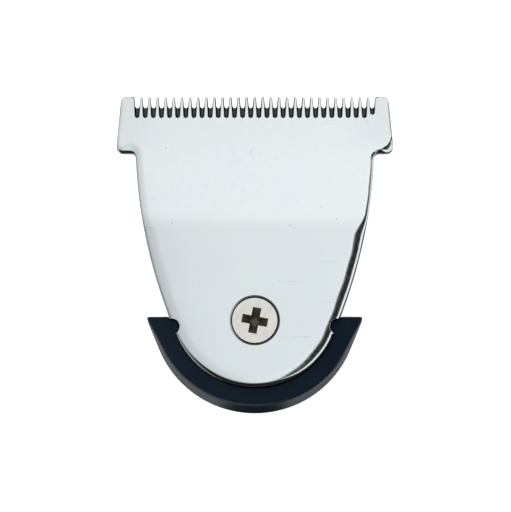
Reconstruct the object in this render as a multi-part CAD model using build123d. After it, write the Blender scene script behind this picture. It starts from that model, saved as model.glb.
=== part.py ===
"""Clip-on trimmer blade set: a fixed comb plate, a sliding cutter with its driver and spring, and a moulded carrier.

Millimetres. The front of the plate looks to +Z, the teeth point to +Y, and the set lies on its back at z 0.
While it is modelled the screw axis stands at x 0, y 0; at the end every piece moves so that y 0 is mid-length.
"""

import os
from math import acos, atan2, cos, degrees, hypot, radians, sin, sqrt, tan

from build123d import *

os.makedirs("parts", exist_ok=True)

# Comb, shared by both blades; the fixed blade's gaps are measured at its back and open toward its front
tooth_pitch = 1.0
gap_count = 30
gap_tip_width = 0.62
gap_root_width = 0.30
gap_draft = 10.5
fixed_gap_depth = 2.57
last_gap_depth = 2.17
cutter_gap_tip_width = 0.68
cutter_gap_root_width = 0.48
cutter_gap_depth = 0.95
cutter_setback = 0.35
tooth_land = 0.30
tooth_point = 0.25

# Fixed blade, seen from the front
tip_y = 27.92
head_length = 7.12
head_tip_half_width = 16.46
head_half_width = 17.1
head_top_corner = 0.6
head_low_corner = 0.8
neck_half_width = 14.64
neck_fillet = 0.7
round_end_radius = 10.3
round_end_y = 2.2
side_tangent_angle = 24.0
notch_y = -0.75
notch_radius = 1.0
notch_depth = 0.8

# Fixed blade, through its thickness
plate_thickness = 2.0
tip_thickness = 0.6
bend_y = 12.44
bend_radius = 20.0
face_roll = 1.2
bevel_roll = 0.6

# Moving blade
cutter_thickness = 1.0
cutter_tip_thickness = 0.35
cutter_bevel_length = 2.4
cutter_half_width = 15.1
cutter_length = 6.2
cutter_corner = 0.5
stroke = 2.0

# Carrier
rim_radius = 12.59
rim_centre_y = 2.28
rim_flare = 0.17
rim_sag = 0.42
rim_end_half_width = 13.3
rim_end_y = 0.6
rim_depth = 4.0
rim_wall = 1.5
rim_end_round = 0.25
rim_edge_break = 0.15
pocket_depth = 0.7
pocket_gap = 0.12
base_thickness = 1.8
base_inset = 0.8
channel_floor = 0.9
plug_depth = 2.7
plug_inset = 2.6
plug_wall = 1.2
plug_lead_in = 0.3
rib_width = 1.0
rib_angles = (-72, -38, 38, 72)
boss_diameter = 6.4
boss_setback = 0.6
lip_length = 1.4
tongue_half_width = 4.0
tongue_reach = 2.3
tongue_thickness = 1.3
finger_y = 15.0
finger_half_length = 2.2
finger_slit = 0.7
finger_slit_height = 3.4
detent_radius = 0.8
detent_height = 0.35
detent_half_length = 1.0

# Cutter driver
bar_length = 4.4
bar_thickness = 2.2
peg_diameter = 2.0
peg_half_spacing = 5.6
tail_neck_half_width = 3.6
tail_half_width = 6.2
tail_length = 5.2
tail_thickness = 2.0
fork_width = 2.6
fork_depth = 3.8
ear_wall = 1.6
ear_height = 2.4
pad_height = 0.35
pad_width = 0.9
edge_break = 0.2

# Tension spring
wire_diameter = 0.7
wire_flats = 10
bow_clearance = 0.25
foot_half_spacing = 6.4
foot_length = 1.0
foot_bend = 1.0
hook_y = 8.0
hook_length = 2.4
hook_tab = 1.1
hook_post = 1.2
hook_gap = 0.1

# Screw
screw_diameter = 3.0
screw_length = 6.0
head_diameter = 5.5
head_rim = 0.15
sink_diameter = 6.15
plate_hole_diameter = 3.3
recess_span = 3.2
recess_width = 1.05
recess_depth = 1.6
recess_bottom = 0.45
recess_core = 1.5
recess_turn = -11.0

# Running and seating clearances
slide_clearance = 0.02
guide_clearance = 0.1
side_clearance = 0.4
seat_clearance = 0.02
thread_clearance = 0.05
peg_clearance = 0.05
foot_clearance = 0.06

# Levels, up from the back
rim_back_z = plug_depth
rim_front_z = rim_back_z + rim_depth
seat_z = rim_front_z - pocket_depth
front_z = seat_z + plate_thickness
base_z = seat_z - base_thickness
cutter_front_z = seat_z - slide_clearance
cutter_back_z = cutter_front_z - cutter_thickness
bar_back_z = cutter_back_z - bar_thickness
tail_front_z = seat_z - side_clearance
tail_back_z = tail_front_z - tail_thickness

# Levels, along the length
shoulder_y = tip_y - head_length
carrier_top_y = shoulder_y - base_inset
lip_low_y = carrier_top_y - lip_length
bar_low_y = carrier_top_y + guide_clearance
bar_top_y = bar_low_y + bar_length
tail_top_y = lip_low_y - guide_clearance
tail_low_y = tail_top_y - tail_length
cutter_tip_y = tip_y - cutter_setback
cutter_low_y = cutter_tip_y - cutter_length
peg_y = (cutter_low_y + bar_top_y) / 2
rim_low_y = rim_centre_y - rim_sag - rim_radius - rim_flare
bevel_slope = (plate_thickness - tip_thickness) / (tip_y - bend_y)

# Places of the tooth gaps across the comb
gap_places = [(index - (gap_count - 1) / 2) * tooth_pitch for index in range(gap_count)]

# Rounded corners at the head, no larger than its ledge beside the neck lets them be
ledge = head_half_width - neck_half_width
low_corner = min(head_low_corner, 0.5 * ledge)
neck_corner = min(neck_fillet, 0.4 * ledge)
head_roll = min(bevel_roll, 0.8 * low_corner)

# Spring: it lies in a plane that tilts from the carrier's base at the bow to the driver's back at the feet
bow_radius = boss_diameter / 2 + bow_clearance + wire_diameter / 2
foot_y = (bar_low_y + bar_top_y) / 2
bow_z = base_z - wire_diameter / 2 - seat_clearance
foot_z = bar_back_z - pad_height - wire_diameter / 2 - foot_clearance
spring_tilt = atan2(bow_z - foot_z, foot_y + bow_radius)
spring_reach = (foot_y + bow_radius) / cos(spring_tilt)
leg_rise = spring_reach - bow_radius
leg_lean = acos(bow_radius / hypot(foot_half_spacing, leg_rise)) - atan2(leg_rise, foot_half_spacing)
foot_end = foot_half_spacing + foot_bend + foot_length
bar_half_width = foot_end + stroke / 2 + side_clearance


def prism(sketch, low_z, high_z):
    """Straight prism over a flat outline, between two levels."""
    return extrude(Pos(0, 0, low_z) * sketch, high_z - low_z)


def block(x_low, x_high, y_low, y_high, z_low, z_high):
    """Rectangular block between its limits."""
    size = (x_high - x_low, y_high - y_low, z_high - z_low)
    middle = ((x_low + x_high) / 2, (y_low + y_high) / 2, (z_low + z_high) / 2)
    return Pos(*middle) * Box(*size)


def both_sides(piece):
    """A piece and its mirror image on the other side of the centre line."""
    return piece + mirror(piece, about=Plane.YZ)


def at_points(sketch, points):
    """Corners of an outline that stand at the given points."""
    return [sketch.vertices().sort_by_distance(point)[0] for point in points]


def lower_outline(top_y):
    """Blade below its head: round end, long side arcs tangent to it, and a straight stretch up to top_y."""
    turn = radians(side_tangent_angle)
    side_x = round_end_radius * cos(turn)
    side_y = round_end_y - round_end_radius * sin(turn)
    side_start = (side_x, side_y)
    neck = (neck_half_width, shoulder_y)
    side = TangentArc(side_start, neck, tangent=(sin(turn), cos(turn)))
    end = ThreePointArc((-side_x, side_y), (0, round_end_y - round_end_radius), side_start)
    top = Polyline(neck, (neck_half_width, top_y), (-neck_half_width, top_y), (-neck_half_width, shoulder_y))
    return make_face(end + side + top + mirror(side, about=Plane.YZ))


def head_outline():
    """Wide head of the plate that carries the comb, with its lower corners rounded."""
    top = [(-head_tip_half_width, tip_y), (head_tip_half_width, tip_y)]
    low = [(head_half_width, shoulder_y), (-head_half_width, shoulder_y)]
    head = make_face(Polyline(*top, *low, close=True))
    return fillet(at_points(head, low), low_corner)


def top_corners():
    """What is ground off the head's two top corners to round them."""
    head = head_outline()
    top = [(-head_tip_half_width, tip_y), (head_tip_half_width, tip_y)]
    return head - fillet(at_points(head, top), head_top_corner)


def plate_outline():
    """Whole front outline of the plate, before teeth, notches and top corners."""
    outline = head_outline() + lower_outline(shoulder_y + head_length / 2)
    return fillet(at_points(outline, [(-neck_half_width, shoulder_y), (neck_half_width, shoulder_y)]), neck_corner)


def side_half_width(y):
    """Half width of the plate's lower outline at a level along its length."""
    across = lower_outline(tip_y) & (Pos(0, y) * Rectangle(4 * neck_half_width, 0.01))
    return across.bounding_box().max.X


def notch_sketch(extra):
    """Round locating notches in the plate's sides; extra shrinks them to the carrier's bumps."""
    x = side_half_width(notch_y) - notch_depth + notch_radius
    return both_sides(Pos(x, notch_y) * Circle(notch_radius - extra))


def gap_sketch(tips_y, depth, tip_width, root_width):
    """One tooth gap: root in three flats, straight flanks, and a mouth that leaves pointed teeth on both sides."""
    root = root_width / 2
    root_y = tips_y - depth
    land_x = (tooth_pitch - tooth_land) / 2
    right = [
        (root * cos(radians(60)), root_y),
        (root, root_y + root * sin(radians(60))),
        (tip_width / 2, tips_y - tooth_point),
        (land_x, tips_y),
        (land_x, tips_y + tooth_pitch),
    ]
    left = [(-x, y) for x, y in reversed(right)]
    return make_face(Polyline(*right, *left, close=True))


def comb_gaps(gap, places, low_z, height, draft):
    """Tooth gaps at places along a comb, as cutting prisms that open toward the front by the draft angle."""
    one = extrude(Pos(0, 0, low_z) * gap, height, taper=-draft)
    return [Pos(x, 0, 0) * one for x in places]


def front_profile(raise_by):
    """Side view under the front of the plate: full thickness, the soft bend, and the ground slope to the tips."""
    drop = atan2(plate_thickness - tip_thickness, tip_y - bend_y)
    reach = bend_radius * tan(drop / 2)
    flat_z = front_z + raise_by
    far_y = tip_y + head_length
    low_y = round_end_y - 2 * round_end_radius
    flat_end = (0, bend_y - reach, flat_z)
    slope_start = (0, bend_y + reach * cos(drop), flat_z - reach * sin(drop))
    far = (0, far_y, flat_z - (far_y - bend_y) * tan(drop))
    flat = Line((0, low_y, flat_z), flat_end)
    bend = TangentArc(flat_end, slope_start, tangent=(0, 1, 0))
    rest = Polyline(slope_start, far, (0, far_y, 0), (0, low_y, 0), (0, low_y, flat_z))
    return extrude(make_face(flat + bend + rest), 2 * head_half_width, dir=(1, 0, 0), both=True)


def rolled_plate():
    """Full-thickness plate whose front edge rolls over round the lower end; the head is left square."""
    plate = prism(lower_outline(tip_y), seat_z, front_z)
    rim = plate.edges().filter_by(lambda edge: edge.geom_type == GeomType.CIRCLE).group_by(Axis.Z)[-1]
    plate = fillet(rim, face_roll)
    wide = 2 * head_half_width
    return plate + block(-wide, wide, shoulder_y - 2 * neck_fillet, tip_y + head_length, seat_z, front_z)


def ground_plate():
    """Plate under the ground slope carried on past the bend, with a finer rolled edge all round."""
    low_y = round_end_y - 2 * round_end_radius
    high_y = tip_y + head_length
    rise = seat_z + tip_thickness + bevel_slope * tip_y
    side = [(0, low_y, 0), (0, low_y, rise - bevel_slope * low_y), (0, high_y, rise - bevel_slope * high_y)]
    wedge = make_face(Polyline(*side, (0, high_y, 0), close=True))
    wedge = extrude(wedge, 2 * head_half_width, dir=(1, 0, 0), both=True)
    plate = prism(plate_outline(), seat_z, front_z + 2 * plate_thickness) & wedge
    slope = plate.faces().filter_by(lambda face: face.normal_at().Z > 0.5)[0]
    tips = slope.edges().sort_by(Axis.Y)[-1]
    return fillet(slope.edges() - [tips], head_roll) - prism(top_corners(), 0, 2 * front_z)


def countersink():
    """Screw hole through the plate with its cone for the flat head."""
    sink = (sink_diameter - plate_hole_diameter) / 2
    cone = Pos(0, 0, front_z - sink / 2) * Cone(plate_hole_diameter / 2, sink_diameter / 2, sink)
    hole = Pos(0, 0, seat_z + plate_thickness / 2) * Cylinder(plate_hole_diameter / 2, 2 * plate_thickness)
    return cone + hole


def make_fixed_blade():
    blade = rolled_plate() & ground_plate() & front_profile(0.003)
    gap = gap_sketch(tip_y, fixed_gap_depth, gap_tip_width, gap_root_width)
    last_gap = gap_sketch(tip_y, last_gap_depth, gap_tip_width, gap_root_width)
    blade -= comb_gaps(gap, gap_places[:-1], seat_z, plate_thickness, gap_draft)
    blade -= comb_gaps(last_gap, gap_places[-1:], seat_z, plate_thickness, gap_draft)
    blade -= prism(notch_sketch(0), 0, 2 * front_z)
    return blade - countersink()


def make_moving_blade():
    middle_y = (cutter_low_y + cutter_tip_y) / 2
    plan = Pos(0, middle_y) * Rectangle(2 * cutter_half_width, cutter_length)
    low = [(-cutter_half_width, cutter_low_y), (cutter_half_width, cutter_low_y)]
    plan = fillet(at_points(plan, low), cutter_corner)
    blade = prism(plan, cutter_back_z, cutter_front_z)
    bevel_y = cutter_tip_y - cutter_bevel_length
    tip_z = cutter_front_z - cutter_tip_thickness
    bevel = make_face(Polyline((0, bevel_y, cutter_back_z), (0, cutter_tip_y, tip_z),
                               (0, cutter_tip_y, cutter_back_z), close=True))
    blade -= extrude(bevel, 2 * cutter_half_width, dir=(1, 0, 0), both=True)
    gap = gap_sketch(cutter_tip_y, cutter_gap_depth, cutter_gap_tip_width, cutter_gap_root_width)
    blade -= comb_gaps(gap, gap_places, cutter_back_z, cutter_thickness, 0)
    hole = Circle(peg_diameter / 2 + peg_clearance)
    return blade - prism(both_sides(Pos(peg_half_spacing, peg_y) * hole), 0, front_z)


def make_cutter_driver():
    bar = block(-bar_half_width, bar_half_width, bar_low_y, bar_top_y, bar_back_z, cutter_back_z)
    tail = block(-tail_half_width, tail_half_width, tail_low_y, tail_top_y, tail_back_z, tail_front_z)
    neck = block(-tail_neck_half_width, tail_neck_half_width, tail_low_y, bar_low_y + bar_length / 4,
                 tail_back_z, cutter_back_z)
    ear = fork_width / 2 + ear_wall
    ears = block(-ear, ear, tail_low_y, tail_low_y + fork_depth + ear_wall, tail_back_z - ear_height, tail_front_z)
    driver = chamfer(bar.edges(), edge_break) + neck + tail + chamfer(ears.edges().group_by(Axis.Z)[0], edge_break)
    pad_low_x = foot_half_spacing - stroke
    driver += both_sides(block(pad_low_x, bar_half_width - edge_break, foot_y - pad_width / 2, foot_y + pad_width / 2,
                               bar_back_z - pad_height, cutter_back_z))
    peg = Pos(peg_half_spacing, peg_y) * Circle(peg_diameter / 2)
    driver += prism(both_sides(peg), cutter_back_z, cutter_front_z - cutter_thickness / 5)
    fork_y = tail_low_y + fork_depth - fork_width / 2
    fork = Pos(0, fork_y) * SlotCenterToCenter(2 * fork_depth, fork_width, rotation=90)
    fork = Pos(0, -fork_depth) * fork
    return driver - prism(fork, 0, front_z)


def leg_offset(along):
    """Distance of a spring leg from the centre line, at a distance along the spring from its bow."""
    return (bow_radius + (along - bow_radius) * sin(leg_lean)) / cos(leg_lean)


def spring_path():
    """Middle line of the wire: foot, leg, bow round the boss, leg, foot."""
    plane = Plane(origin=(0, -bow_radius, bow_z), x_dir=(1, 0, 0), z_dir=(0, sin(spring_tilt), cos(spring_tilt)))
    start = (bow_radius * cos(leg_lean), bow_radius - bow_radius * sin(leg_lean))
    corner = (foot_half_spacing, spring_reach)
    leg = Polyline(start, corner, (foot_end, spring_reach))
    leg = fillet(leg.vertices().sort_by_distance(corner)[0], foot_bend)
    bow = ThreePointArc((-start[0], start[1]), (0, 0), start)
    return plane * Wire([*leg.edges(), bow.edge(), *mirror(leg, about=Plane.YZ).edges()])


def make_tension_spring():
    path = spring_path()
    section = Plane(origin=path @ 0, z_dir=path % 0) * RegularPolygon(wire_diameter / 2, round(wire_flats))
    return sweep(section, path=path)


def rim_outline(radius, centre_y):
    """Outline of the rim: round lower end and straight tangent flanks up to its two ends."""
    end_dx = rim_end_half_width
    end_dy = rim_end_y - centre_y
    reach = sqrt(end_dx**2 + end_dy**2)
    angle = atan2(end_dy, end_dx) - atan2(sqrt(reach**2 - radius**2), radius)
    touch = (radius * cos(angle), centre_y + radius * sin(angle))
    end = (rim_end_half_width, rim_end_y)
    arc = ThreePointArc((-touch[0], touch[1]), (0, centre_y - radius), touch)
    other_end = (-end[0], end[1])
    flank = Polyline(touch, end, other_end, (-touch[0], touch[1]))
    outline = make_face(arc + flank)
    return fillet(at_points(outline, [end, other_end]), rim_end_round)


def rim_block():
    """Solid rim body, flared toward the back and most at its bottom, with its front outer edge broken."""
    front = Pos(0, 0, rim_front_z) * rim_outline(rim_radius, rim_centre_y)
    back = Pos(0, 0, rim_back_z) * rim_outline(rim_radius + rim_flare, rim_centre_y - rim_sag)
    rim = loft([back, front], ruled=True)
    return chamfer(rim.edges().group_by(Axis.Z)[-1], rim_edge_break)


def below_top(sketch):
    """The part of a flat outline that lies below the carrier's top edge."""
    depth = carrier_top_y - rim_low_y + rim_radius
    return sketch & (Pos(0, carrier_top_y - depth / 2) * Rectangle(4 * head_half_width, depth))


def inset_outline(inset):
    """The plate's lower outline drawn in by an even amount, up to the carrier's top edge."""
    return below_top(offset(lower_outline(tip_y), -inset))


def rim_channel():
    """Cored-out channel behind the rim, between its outer wall and the plug, crossed by ribs."""
    channel = offset(rim_outline(rim_radius, rim_centre_y), -rim_wall) - inset_outline(plug_inset)
    for angle in rib_angles:
        rib = Pos(0, -rim_radius / 2) * Rectangle(rib_width, rim_radius)
        channel -= Pos(0, rim_centre_y) * Rot(0, 0, angle) * rib
    return prism(channel, 0, seat_z - channel_floor)


def driver_window():
    """Opening in the base for the driver's tail, with a narrower mouth that leaves the two guide lips."""
    travel = stroke / 2 + side_clearance
    wide = tail_half_width + travel
    mouth = tail_neck_half_width + travel
    room = block(-wide, wide, tail_low_y - side_clearance, lip_low_y, 0, seat_z)
    return room + block(-mouth, mouth, lip_low_y, 2 * carrier_top_y, 0, seat_z)


def finger_slits():
    """Slits on both sides of each snap finger."""
    slits = []
    for y in (finger_y - finger_half_length, finger_y + finger_half_length):
        slits.append(block(-head_half_width, -tail_half_width, y - finger_slit / 2, y + finger_slit / 2, 0,
                           finger_slit_height))
    return both_sides(slits[0] + slits[1])


def detents():
    """Rounded bumps with sloping ends on the outside of the snap fingers."""
    low = side_half_width(finger_y - finger_half_length)
    high = side_half_width(finger_y + finger_half_length)
    lean = degrees(atan2(high - low, 2 * finger_half_length))
    x = side_half_width(finger_y) - plug_inset - detent_radius + detent_height
    rod = Cylinder(detent_radius, 2 * detent_half_length)
    slope_z = detent_half_length + detent_height / 2
    slope = Pos(0, 0, slope_z) * Cone(detent_radius, detent_radius - detent_height, detent_height)
    rod += slope + mirror(slope, about=Plane.XY)
    bump = Pos(x, finger_y, detent_radius + detent_height) * Rot(0, 0, -lean) * Rot(90, 0, 0) * rod
    return both_sides(bump)


def spring_hooks():
    """Posts whose tabs reach behind the spring's legs and hold them against its pull."""
    along = (hook_y + bow_radius) / cos(spring_tilt)
    leg_x = leg_offset(along)
    leg_z = bow_z - along * sin(spring_tilt)
    tab_z = leg_z - wire_diameter / 2 - hook_gap
    post_x = leg_x + wire_diameter
    low_y = hook_y - hook_length / 2
    high_y = hook_y + hook_length / 2
    post = block(post_x, post_x + hook_post, low_y, high_y, tab_z - hook_tab, base_z)
    tab = block(leg_x - wire_diameter, post_x + hook_post, low_y, high_y, tab_z - hook_tab, tab_z)
    return both_sides(post + tab)


def plug_wall_ring(room):
    """Wall of the plug that enters the trimmer, with a lead-in round its back edge."""
    plug = prism(inset_outline(plug_inset), 0, base_z)
    back_edges = plug.edges().group_by(Axis.Z)[0].filter_by(GeomType.CIRCLE)
    return chamfer(back_edges, plug_lead_in) - prism(room, 0, base_z)


def make_blade_carrier():
    carrier = rim_block() + prism(inset_outline(base_inset), base_z, seat_z)
    carrier -= prism(offset(lower_outline(tip_y), pocket_gap) - notch_sketch(pocket_gap), seat_z, front_z)
    carrier -= rim_channel()
    room = inset_outline(plug_inset + plug_wall)
    carrier -= prism(room, 0, base_z)
    carrier += plug_wall_ring(room)
    carrier += Pos(0, 0, (boss_setback + base_z) / 2) * Cylinder(boss_diameter / 2, base_z - boss_setback)
    carrier -= driver_window()
    carrier -= finger_slits()
    carrier += detents()
    carrier += spring_hooks()
    plug_low_y = round_end_y - round_end_radius + plug_inset
    carrier += block(-tongue_half_width, tongue_half_width, plug_low_y - tongue_reach, plug_low_y + plug_wall / 2, 0,
                     tongue_thickness)
    return carrier - Cylinder(screw_diameter / 2 + thread_clearance, 4 * front_z)


def cross_recess(top_z):
    """Cross recess in the screw's head, narrowing to its bottom."""
    wing = None
    for turn in (0, 90):
        top = Pos(0, 0, top_z) * Rot(0, 0, turn) * Rectangle(recess_span, recess_width)
        low = Pos(0, 0, top_z - recess_depth) * Rot(0, 0, turn) * Rectangle(recess_span / 3, recess_bottom)
        arm = loft([low, top], ruled=True)
        wing = arm if wing is None else wing + arm
    core = Pos(0, 0, top_z - recess_depth / 2) * Cone(recess_bottom / 2, recess_core / 2, recess_depth)
    return Rot(0, 0, recess_turn) * (wing + core)


def make_carrier_screw():
    head_radius = head_diameter / 2
    shank = screw_diameter / 2
    cone_top_z = front_z - (sink_diameter - head_diameter) / 2 + seat_clearance
    top_z = cone_top_z + head_rim
    low_z = top_z - screw_length
    cone_low_z = cone_top_z - (head_radius - shank)
    point = shank / 4
    profile = Polyline((0, 0, low_z), (shank - point, 0, low_z), (shank, 0, low_z + point), (shank, 0, cone_low_z),
                       (head_radius, 0, cone_top_z), (head_radius, 0, top_z), (0, 0, top_z), close=True)
    return revolve(make_face(profile), Axis.Z) - cross_recess(top_z)


pieces = {
    "fixed_blade": make_fixed_blade(),
    "moving_blade": make_moving_blade(),
    "cutter_driver": make_cutter_driver(),
    "tension_spring": make_tension_spring(),
    "blade_carrier": make_blade_carrier(),
    "carrier_screw": make_carrier_screw(),
}
middle_y = (tip_y + rim_low_y) / 2
for name, piece in pieces.items():
    export_step(Pos(0, -middle_y, 0) * piece, f"parts/{name}.step")
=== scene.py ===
"""Looks for a clip-on trimmer blade set that lies on its back on a pale floor, seen almost from above."""

import math
from collections import namedtuple

import bpy
import numpy as np
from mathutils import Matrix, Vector
from mathutils.geometry import delaunay_2d_cdt


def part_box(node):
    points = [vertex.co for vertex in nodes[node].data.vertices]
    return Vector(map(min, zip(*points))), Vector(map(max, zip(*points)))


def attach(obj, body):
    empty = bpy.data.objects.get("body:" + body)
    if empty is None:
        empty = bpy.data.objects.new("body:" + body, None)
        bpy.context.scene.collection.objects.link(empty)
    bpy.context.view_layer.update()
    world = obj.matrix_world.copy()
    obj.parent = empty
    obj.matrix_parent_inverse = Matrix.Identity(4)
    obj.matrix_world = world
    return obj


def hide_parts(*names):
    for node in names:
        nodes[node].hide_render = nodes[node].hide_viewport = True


MM = 0.001
WHITE = (1.0, 1.0, 1.0, 1.0)

# Camera: the photograph's scale and its slight tilt toward the round end
IMAGE_WIDTH = 511
PIXEL_SIZE = 0.12192 * MM
TARGET = (0.091 * MM, -0.633 * MM, 8.0 * MM)
TILT = math.radians(8.0)
LENS = 200.0
SENSOR = 36.0
CLIP_START = 0.01
CLIP_END = 10.0

# Tent: its light by angle from the zenith to the right (+X) and ahead (+Y), as (degrees, level or colour)
HORIZON = 90
WARM = (1.10, 1.07, 1.06)
ACROSS = [(-90, 0.40), (-72, 0.48), (-58, 0.55), (-47, 0.61), (-37, 0.65), (-22, 0.69), (-12, 0.73),
          (-6, 0.78), (-3, 0.83), (0, 0.88), (4, 0.88), (8, 0.97), (12, 1.05), (40, 1.0), (90, 0.9)]
ALONG = [(-90, 0.6), (-60, 0.9), (-40, 0.94), (8, 0.94), (16, WARM), (22, WARM), (30, 0.95), (70, 0.75),
         (90, 0.6)]

# Dark flag in the tent: degrees where it starts on the right and ends ahead, in front and toward the floor
FLAG_START = 14.0
FLAG_AHEAD = 22.0
FLAG_FRONT = -40.0
FLAG_LOW = 48.0
FLAG_LEVEL = 0.013

# How soft the flag's limits are to each side, in degrees; the low one as a change of height
START_BLUR = 0.5
AHEAD_BLUR = 1.5
FRONT_BLUR = 2.0
LOW_BLUR = 0.02

# Floor in metres, and in millimetres a painted shadow patch on it in front of the round end, which only
# reflections see
FLOOR_COLOUR = (0.86, 0.87, 0.87, 1.0)
FLOOR_ROUGH = 0.9
FLOOR_GLOW = 0.72
FLOOR_SIZE = 3.0
# Painted shadow: a dark patch on the floor in front of the round end, seen only in reflections
SHADOW_PATCH_HALF = 4.5
SHADOW_PATCH_LENGTH = 14.0
SHADOW_PATCH_BLUR = 1.0
SHADOW_PATCH_COLOUR = (0.02, 0.02, 0.02, 1.0)

# Lamp, in metres, degrees and watts
LAMP_SIZE = (0.5, 0.7)
LAMP_PLACE = (-0.18, 0.1, 0.8)
LAMP_TURN = (-7, -12.7)
LAMP_POWER = 3.0

# Plate, in millimetres with the screw axis at x 0, y 0: the same sizes as the solid
TIP_Y = 27.92
SHOULDER_Y = 20.8
HEAD_TIP_HALF = 16.46
HEAD_HALF = 17.1
TOP_CORNER = 0.6
LOW_CORNER = 0.8
NECK_HALF = 14.64
NECK_FILLET = 0.7
END_RADIUS = 10.3
END_Y = 2.2
SIDE_ANGLE = math.radians(24.0)
NOTCH_Y = -0.75
NOTCH_RADIUS = 1.0
NOTCH_DEPTH = 0.8
FRONT_Z = 8.0
BACK_Z = 6.0
TIP_THICKNESS = 0.6
BEND_Y = 12.44
BEND_RADIUS = 20.0
HOLE_RADIUS = 1.65
SINK_RADIUS = 3.075
PITCH = 1.0
GAP_COUNT = 30
GAP_TIP_HALF = 0.31
GAP_ROOT_HALF = 0.15
GAP_DEPTH = 2.57
LAST_GAP_DEPTH = 2.17
GAP_DRAFT = math.tan(math.radians(10.5))
LAND_HALF = 0.15
POINT_LENGTH = 0.25
FALL = math.atan2(FRONT_Z - BACK_Z - TIP_THICKNESS, TIP_Y - BEND_Y)
MIRROR = np.array([-1, 1])

# Rolled edge: its height over its reach, its largest share of the thickness, and how much of its round it has
ROLL_HEIGHT = 0.37
ROLL_DEPTH = 0.7
ROLL_ROUND = 0.9999

# How far the roll reaches in: on the body, the head's sides, round the notches and at the comb's ends
BODY_ROLL = 1.47
HEAD_ROLL = 0.34
NOTCH_ROLL = 0.4
TIP_ROLL = 0.12

# Reach that differs right and left: beside the ground face, on the head's ledge and its corner; and its wave
RIGHT_ROLL = {"face": 0.5, "ledge": 0.8, "corner": 0.3, "wave": 0.035}
LEFT_ROLL = {"face": 0.95, "ledge": 1.55, "corner": 1.6, "wave": 0.0}

# Where the reach changes along the body, from the neck to the head and round the corner
ROLL_CHANGE = (10.2, 13.2)
NECK_CHANGE = (NECK_HALF - 0.2, NECK_HALF + NECK_FILLET)
CORNER_REACH = 1.3

# Wave of the reach along the body, with a slower and weaker one over it
WAVE_LENGTH = 3.6
WAVE_Y = 8.9
SLOW_RATE = 0.43
SLOW_SHARE = 0.6

# Crown: a slight fall of the face toward the roll, as shares of its reach, with a loss of depth near the head
CROWN_WIDTH = 3.2
CROWN_DEPTH = 0.05
CROWN_LOSS = 0.7
CROWN_CHANGE = (SHOULDER_Y - 4, SHOULDER_Y - 1)

# Sag of the head's lower right corner, outside a circle: its centre from the corner, its radius and the slope
SAG_IN = 2.3
SAG_UP = 2.4
SAG_RADIUS = 2.0
SAG_START = 0.37
SAG_GROWTH = 0.36

# How far to the right of the circle's centre and below it the sag sets in
SAG_RIGHT = (-0.1, 0.4)
SAG_BELOW = (0.1, 0.6)

# Mesh of the face: rings in from the edge as shares of the reach, and arcs out from the notch and sag circles
RINGS = (0.015, 0.04, 0.075, 0.12, 0.175, 0.24, 0.32, 0.42, 0.53, 0.66, 0.8, 0.95, 1.1, 1.35, 1.7, 2.2, 2.7,
         3.2)
NOTCH_RINGS = (0.02, 0.05, 0.09, 0.14, 0.2, 0.28)
NOTCH_SECTOR = (0.6 * math.pi, 1.4 * math.pi)
SAG_RINGS = (0.0, 0.04, 0.12, 0.2, 0.3, 0.4, 0.5, 0.6, 0.7, 0.8, 0.9)
SAG_SECTOR = (-0.5 * math.pi, 0.0)

# Steps along the outline (an arc has a least number) and over the face, rows over the bend, sides of the hole
STEP = 0.3
ARC_STEPS = 4
GRID_STEP = 1.5
GRID_START = -8.0
BEND_SPREAD = 1.1
BEND_ROWS = 12
HOLE_SIDES = 72

# Room between the points of the face and the outline, comb and countersink, and the share that a ring keeps
EDGE_ROOM = 0.03
COMB_ROOM = 0.3
SINK_ROOM = 0.2
RING_SHARE = 0.98

# How close two points are one, in an outline and in the filling, and the filling's kind: inside the outlines
SAME_POINT = 1e-4
FILL_MARGIN = 1e-5
FILL_INSIDE = 1

# Shading of the solids: the gap that joins their faces, and the angle from which an edge stays sharp
MERGE_GAP = 0.0005 * MM
SHARP_ANGLE = math.radians(28)

# Colours and tones
NICKEL = (0.86, 0.94, 0.96, 1.0)
NICKEL_COOL = (0.85, 0.925, 0.965, 1.0)
SPECK = (0.42, 0.46, 0.5, 1.0)
# Painted shade and reflection on the plate's steep sides and tooth flanks
SIDE_SHADE_LEFT = 0.42
SIDE_SHADE_RIGHT = 0.024
FLANK_SHADE = 0.012
FLANK_TIP_SHADE = 0.14
# Painted light and shade in the countersink: lit on the left, shaded on the right and beside the screw
SINK_LIGHT_LEFT = 0.6
SINK_LIGHT_RIGHT = 0.1
SINK_SHADE = 0.05
SINK_METAL = 0.3
COMB_TONE = 0.96
END_TONE = 0.95
LEFT_TONE = 0.95
CUTTER = (0.05, 0.06, 0.06, 1.0)
CUTTER_PALE = (0.11, 0.125, 0.125, 1.0)
# Painted shade on the cutter where the fixed comb covers it
CUTTER_SHADED = (0.008, 0.012, 0.011, 1.0)
CARRIER = (0.0008, 0.0065, 0.0145, 1.0)
# The paler end is reached by random clouding and by painted light toward the left; the edge colour is a
# painted highlight
CARRIER_PALE = (0.0045, 0.012, 0.021, 1.0)
CARRIER_HIGHLIGHT = (0.05, 0.055, 0.065, 1.0)
SCREW = (0.88, 0.88, 0.835, 1.0)
SCREW_DULL = (0.82, 0.82, 0.775, 1.0)
# Painted shade in the screw's recess, and painted shadow round its head
RECESS_SHADE = (0.066, 0.062, 0.046, 1.0)
HEAD_GAP_SHADOW = (0.012, 0.012, 0.01, 1.0)
ACETAL = (0.75, 0.73, 0.66, 1.0)
ACETAL_WARM = (0.72, 0.69, 0.6, 1.0)
WIRE = (0.5, 0.5, 0.51, 1.0)
WIRE_DULL = (0.38, 0.38, 0.39, 1.0)

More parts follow.
